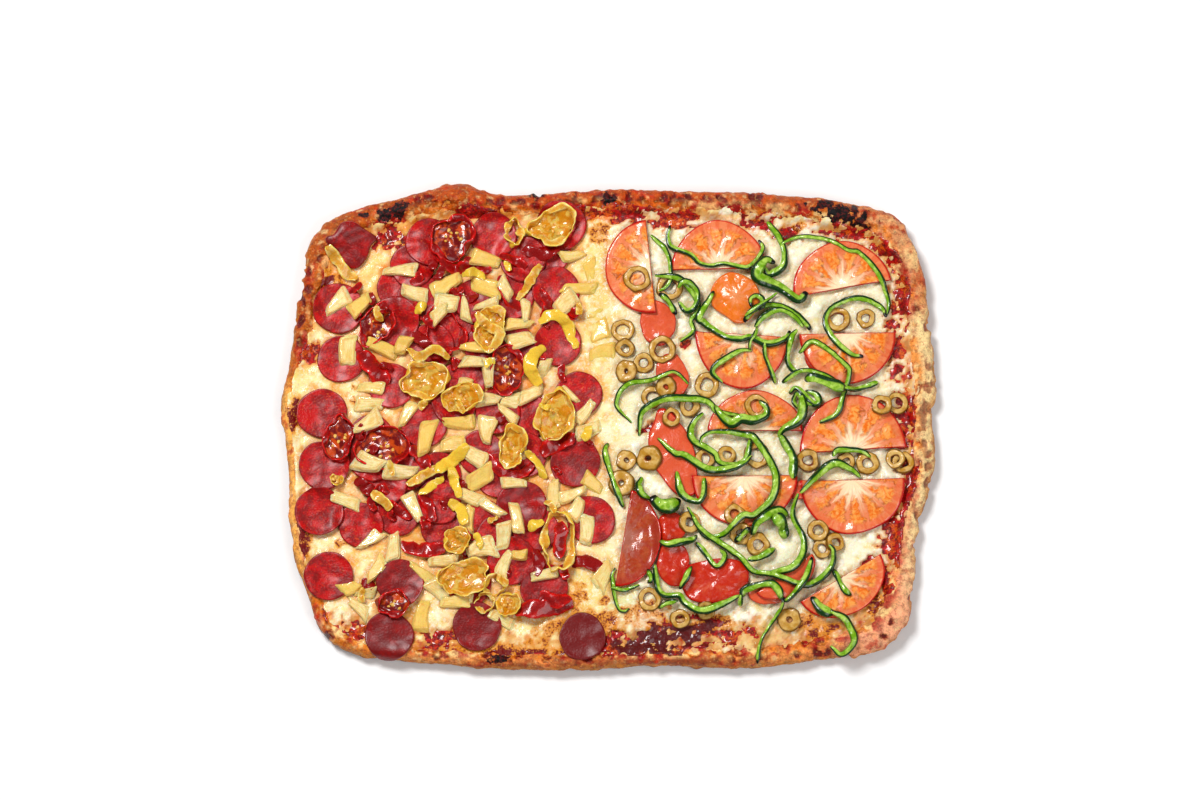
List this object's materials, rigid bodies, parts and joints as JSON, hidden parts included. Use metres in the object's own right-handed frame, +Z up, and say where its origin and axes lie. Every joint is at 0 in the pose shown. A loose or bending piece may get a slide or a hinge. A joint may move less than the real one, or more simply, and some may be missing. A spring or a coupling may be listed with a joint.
{
  "type": "square pizza",
  "caption": "Rectangular pan pizza with a raised crust; one half has pepperoni, pineapple and hot peppers, the other tomato, green pepper and olives.",
  "frame": {"origin": "middle of the pizza's outline, on the surface that its underside rests on", "axes": "+X along the long side towards the vegetable half, +Y across it towards the edge with the black burnt spot, +Z up out of the toppings"},
  "size_m": [0.46, 0.345, 0.0287],
  "materials": {
    "crust": "Baked bread dough, golden to red-brown, dull",
    "cheese": "Melted cheese, cream with yellow and browned patches, oily",
    "pepperoni": "Baked pepperoni, dark red with fat flecks, oily",
    "tomato": "Baked tomato flesh, orange-red with a red skin edge, wet",
    "green_pepper": "Baked green pepper, lime flesh with a dark green skin, wet",
    "banana_pepper": "Pickled yellow pepper, part see-through, wet",
    "chilli": "Red chilli, dark red skin, wet",
    "pineapple": "Pineapple, pale yellow with fibres, wet",
    "olive": "Sliced green olive, tan, wet",
    "sauce": "Baked tomato sauce, dark red, wet"
  },
  "bodies": {
    "root": {"banana_pepper_01": "banana_pepper", "banana_pepper_02": "banana_pepper", "banana_pepper_03": "banana_pepper", "banana_pepper_04": "banana_pepper", "banana_pepper_05": "banana_pepper", "banana_pepper_06": "banana_pepper", "cheese": "cheese", "chilli_01": "chilli", "chilli_02": "chilli", "chilli_03": "chilli", "chilli_04": "chilli", "chilli_05": "chilli", "crust": "crust", "green_pepper_01": "green_pepper", "green_pepper_02": "green_pepper", "green_pepper_03": "green_pepper", "green_pepper_04": "green_pepper", "green_pepper_05": "green_pepper", "green_pepper_06": "green_pepper", "green_pepper_07": "green_pepper", "green_pepper_08": "green_pepper", "green_pepper_09": "green_pepper", "green_pepper_10": "green_pepper", "green_pepper_11": "green_pepper", "pepperoni_01": "pepperoni", "pepperoni_02": "pepperoni", "pepperoni_03": "pepperoni", "pepperoni_04": "pepperoni", "pepperoni_05": "pepperoni", "pepperoni_06": "pepperoni", "pepperoni_07": "pepperoni", "pepperoni_08": "pepperoni", "pepperoni_09": "pepperoni", "pepperoni_10": "pepperoni", "pepperoni_11": "pepperoni", "pepperoni_12": "pepperoni", "pepperoni_13": "pepperoni", "pepperoni_14": "pepperoni", "pepperoni_15": "pepperoni", "pepperoni_16": "pepperoni", "pepperoni_17": "pepperoni", "pepperoni_18": "pepperoni", "pepperoni_19": "pepperoni", "pepperoni_20": "pepperoni", "pepperoni_21": "pepperoni", "pepperoni_22": "pepperoni", "tomato_01": "tomato", "tomato_02": "tomato", "tomato_03": "tomato", "tomato_04": "tomato", "tomato_05": "tomato", "tomato_06": "tomato", "tomato_07": "tomato", "tomato_08": "tomato", "tomato_09": "tomato", "tomato_10": "tomato", "tomato_11": "tomato", "tomato_12": "tomato", "tomato_13": "tomato", "tomato_14": "tomato"}
  },
  "joints": []
}
